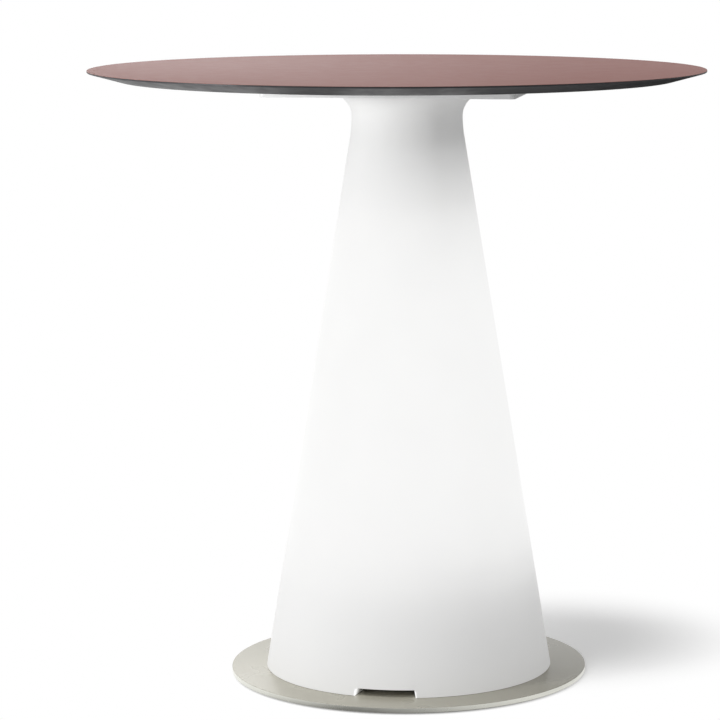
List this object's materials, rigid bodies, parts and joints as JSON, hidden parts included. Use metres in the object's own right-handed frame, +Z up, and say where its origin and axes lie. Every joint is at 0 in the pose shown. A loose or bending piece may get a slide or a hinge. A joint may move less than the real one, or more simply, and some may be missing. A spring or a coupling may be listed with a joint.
{
  "type": "light-up pedestal table",
  "caption": "Round laminate-topped dining table on a lit white conical pedestal with a flat steel disc base and screw glides.",
  "frame": {"origin": "on the floor, under the middle of the round top", "axes": "+Z up, the cable notch at the cone's foot faces -Y, the cone's axis stands 11.5 mm towards +X"},
  "size_m": [0.7424, 0.7424, 0.74],
  "materials": {
    "laminate": "satin compact laminate, mauve-brown face, dark cut edge",
    "cast_paint": "casting in off-white satin paint",
    "lit_plastic": "translucent white moulding, lit from inside",
    "greige_paint": "satin greige powder coat",
    "black_steel": "black coated steel",
    "zinc": "bright zinc plate",
    "aluminium": "plain extruded and machined",
    "gasket_rubber": "matt grey rubber",
    "glide_plastic": "hard black plastic",
    "black_plastic": "fine matt moulding",
    "white_plastic": "plain moulding",
    "light_board": "white solder mask with lit diodes",
    "green_board": "green solder mask",
    "yellow_tape": "yellow insulating tape"
  },
  "bodies": {
    "table": {"table_top": "laminate", "top_plate": "cast_paint", "head_flange": "cast_paint", "light_column": "lit_plastic", "base_disc": "greige_paint", "base_flange": "black_steel", "centre_tube": "black_steel", "tie_rod": "zinc", "rod_washer": "zinc", "rod_nut": "zinc", "seat_screw": "zinc", "cap_screw": "zinc", "driver_screw_1": "zinc", "driver_screw_2": "zinc", "plate_bolt_1": "zinc", "plate_bolt_2": "zinc", "plate_bolt_3": "zinc", "plate_bolt_4": "zinc", "base_bolt_1": "zinc", "base_bolt_2": "zinc", "base_bolt_3": "zinc", "base_bolt_4": "zinc", "top_screw_1": "zinc", "top_screw_2": "zinc", "top_screw_3": "zinc", "top_screw_4": "zinc", "locator_1": "zinc", "locator_2": "zinc", "locator_3": "zinc", "locator_screw_1": "zinc", "locator_screw_2": "zinc", "locator_screw_3": "zinc", "led_carrier": "aluminium", "carrier_seat": "aluminium", "carrier_cap": "aluminium", "column_gasket": "gasket_rubber", "driver_housing": "black_plastic", "driver_lid": "black_plastic", "driver_capacitor": "black_plastic", "cord_gland": "black_plastic", "gland_nut": "black_plastic", "led_lead": "black_plastic", "lead_connector": "white_plastic", "link_board": "light_board", "led_board_1": "light_board", "led_board_2": "light_board", "led_board_3": "light_board", "led_board_4": "light_board", "driver_board": "green_board", "driver_transformer": "yellow_tape"},
    "pad_1": {"glide_pad_1": "glide_plastic"},
    "stud_1": {"glide_stud_1": "zinc"},
    "pad_2": {"glide_pad_2": "glide_plastic"},
    "stud_2": {"glide_stud_2": "zinc"},
    "pad_3": {"glide_pad_3": "glide_plastic"},
    "stud_3": {"glide_stud_3": "zinc"},
    "pad_4": {"glide_pad_4": "glide_plastic"},
    "stud_4": {"glide_stud_4": "zinc"}
  },
  "joints": [
    {"name": "level_1", "type": "slide", "parent": "table", "child": "pad_1", "axis": [0, 0, -1], "range_m": [0, 0.002]},
    {"name": "turn_1", "type": "hinge", "parent": "pad_1", "child": "stud_1", "pos_m": [0.14585, 0.13435, 0.0025], "axis": [0, 0, -1], "range_deg": [0, 576]},
    {"name": "level_2", "type": "slide", "parent": "table", "child": "pad_2", "axis": [0, 0, -1], "range_m": [0, 0.002]},
    {"name": "turn_2", "type": "hinge", "parent": "pad_2", "child": "stud_2", "pos_m": [-0.12285, 0.13435, 0.0025], "axis": [0, 0, -1], "range_deg": [0, 576]},
    {"name": "level_3", "type": "slide", "parent": "table", "child": "pad_3", "axis": [0, 0, -1], "range_m": [0, 0.002]},
    {"name": "turn_3", "type": "hinge", "parent": "pad_3", "child": "stud_3", "pos_m": [-0.12285, -0.13435, 0.0025], "axis": [0, 0, -1], "range_deg": [0, 576]},
    {"name": "level_4", "type": "slide", "parent": "table", "child": "pad_4", "axis": [0, 0, -1], "range_m": [0, 0.002]},
    {"name": "turn_4", "type": "hinge", "parent": "pad_4", "child": "stud_4", "pos_m": [0.14585, -0.13435, 0.0025], "axis": [0, 0, -1], "range_deg": [0, 576]}
  ],
  "couplings": [
    {"joint": "turn_1", "follows": "level_1", "rad_per_m": 5026.5},
    {"joint": "turn_2", "follows": "level_2", "rad_per_m": 5026.5},
    {"joint": "turn_3", "follows": "level_3", "rad_per_m": 5026.5},
    {"joint": "turn_4", "follows": "level_4", "rad_per_m": 5026.5}
  ]
}
